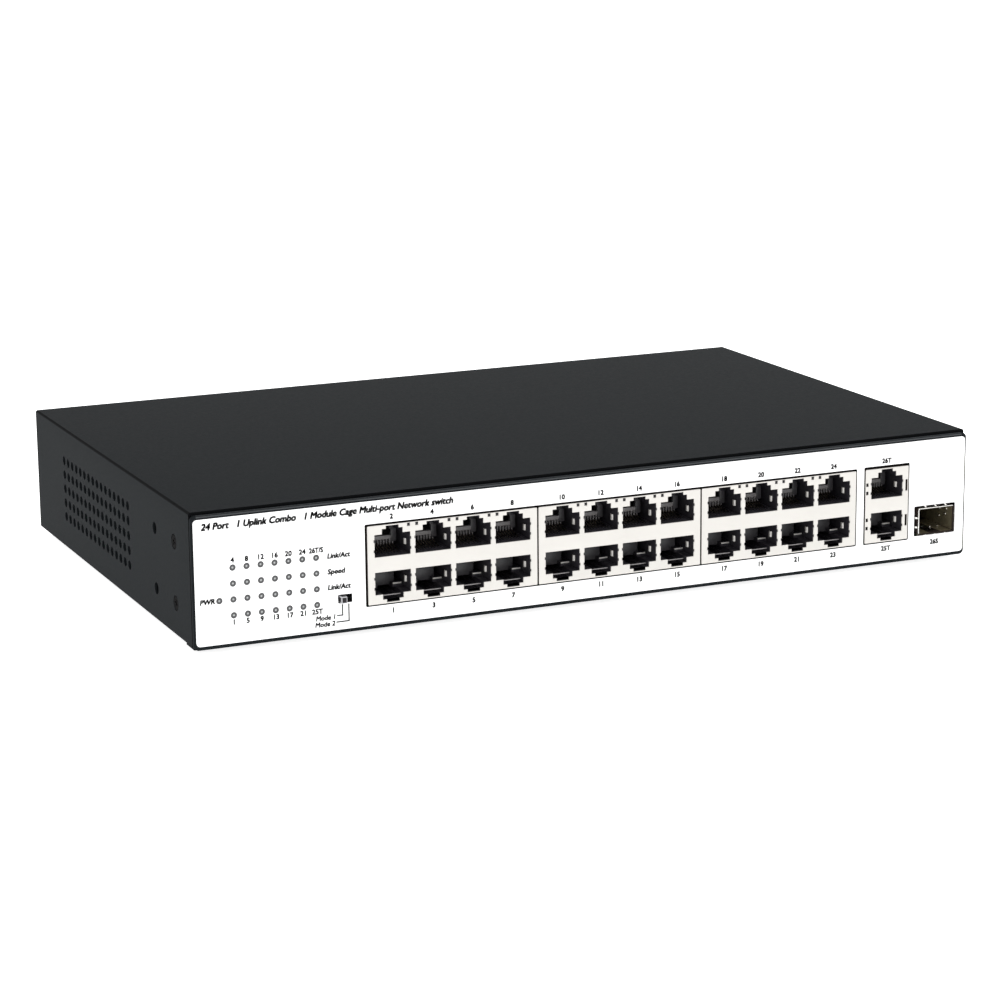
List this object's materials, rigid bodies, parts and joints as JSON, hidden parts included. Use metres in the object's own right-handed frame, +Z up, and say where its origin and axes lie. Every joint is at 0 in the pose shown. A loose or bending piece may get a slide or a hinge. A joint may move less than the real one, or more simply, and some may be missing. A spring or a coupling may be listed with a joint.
{
  "type": "rackmount network switch",
  "caption": "Slim rack or desk network switch: charcoal steel case, white front with stacked jack ports, one module cage, status lamps and a small slide switch.",
  "frame": {"origin": "centre of the footprint, on the plane the rubber feet stand on", "axes": "+X to the right seen from the front, +Y from the port face to the rear, +Z up"},
  "size_m": [0.28, 0.1818, 0.046],
  "materials": {
    "painted_steel": "fine-textured charcoal powder coat",
    "label": "satin printed polyester overlay",
    "shield_metal": "tin-plated sheet",
    "cage_metal": "nickel-plated sheet",
    "black_plastic": "moulded thermoplastic",
    "gold_contact": "gold-flashed contacts",
    "lamp_plastic": "clear moulding",
    "rubber": "matt",
    "screw_steel": "zinc plated",
    "board_green": "solder mask over glass-epoxy",
    "chip_black": "moulded epoxy",
    "aluminium": "extruded, natural",
    "ferrite": "sintered",
    "transformer_tape": "polyester tape over a wound core",
    "capacitor_sleeve": "shrink sleeve",
    "nickel": "nickel plated",
    "connector_white": "moulded nylon",
    "wire_brown": "extruded insulation",
    "wire_blue": "extruded insulation",
    "wire_green": "extruded insulation",
    "wire_red": "extruded insulation",
    "wire_black": "extruded insulation"
  },
  "bodies": {
    "case": {"base_chassis": "painted_steel", "top_cover": "painted_steel", "front_label": "label", "front_panel": "painted_steel", "rubber_foot_1": "rubber", "board_screw_1": "screw_steel", "rubber_foot_2": "rubber", "board_screw_2": "screw_steel", "rubber_foot_3": "rubber", "board_screw_3": "screw_steel", "rubber_foot_4": "rubber", "board_screw_4": "screw_steel", "cover_screw_rear_left": "screw_steel", "cover_screw_left_upper": "screw_steel", "cover_screw_left_lower": "screw_steel", "cover_screw_rear_right": "screw_steel", "cover_screw_right_upper": "screw_steel", "cover_screw_right_lower": "screw_steel", "ground_screw": "screw_steel", "rj45_shield_1": "shield_metal", "rj45_housing_1": "black_plastic", "rj45_contacts_1": "gold_contact", "rj45_shield_2": "shield_metal", "rj45_housing_2": "black_plastic", "rj45_contacts_2": "gold_contact", "rj45_shield_3": "shield_metal", "rj45_housing_3": "black_plastic", "rj45_contacts_3": "gold_contact", "uplink_shield": "shield_metal", "uplink_housing": "black_plastic", "uplink_contacts": "gold_contact", "sfp_cage": "cage_metal", "sfp_connector": "black_plastic", "led_light_pipe": "lamp_plastic", "slide_switch_body": "black_plastic", "main_board": "board_green", "switch_chip": "chip_black", "chip_heat_sink": "aluminium", "magnetics_1": "chip_black", "magnetics_2": "chip_black", "magnetics_3": "chip_black", "dc_connector": "connector_white", "power_board": "board_green", "transformer": "transformer_tape", "input_capacitor": "capacitor_sleeve", "output_capacitor": "capacitor_sleeve", "regulator_heat_sink": "aluminium", "line_filter_choke": "ferrite", "fuse": "nickel", "iec_inlet": "black_plastic", "inlet_pin_line": "nickel", "inlet_pin_neutral": "nickel", "inlet_pin_earth": "nickel", "ac_line_wire": "wire_brown", "ac_neutral_wire": "wire_blue", "earth_wire": "wire_green", "dc_plus_wire": "wire_red", "dc_minus_wire": "wire_black"},
    "slide_knob": {"slide_switch_knob": "black_plastic"},
    "sfp_latch": {"sfp_latch_spring": "cage_metal"}
  },
  "joints": [
    {"name": "slide_switch_travel", "type": "slide", "parent": "case", "child": "slide_knob", "axis": [1, 0, 0], "range_m": [0, 0.002]},
    {"name": "sfp_latch_flex", "type": "hinge", "parent": "case", "child": "sfp_latch", "pos_m": [0.12775, -0.0732, 0.01106], "axis": [1, 0, 0], "range_deg": [0, 4], "stiffness_Nm_per_rad": 0.2}
  ]
}
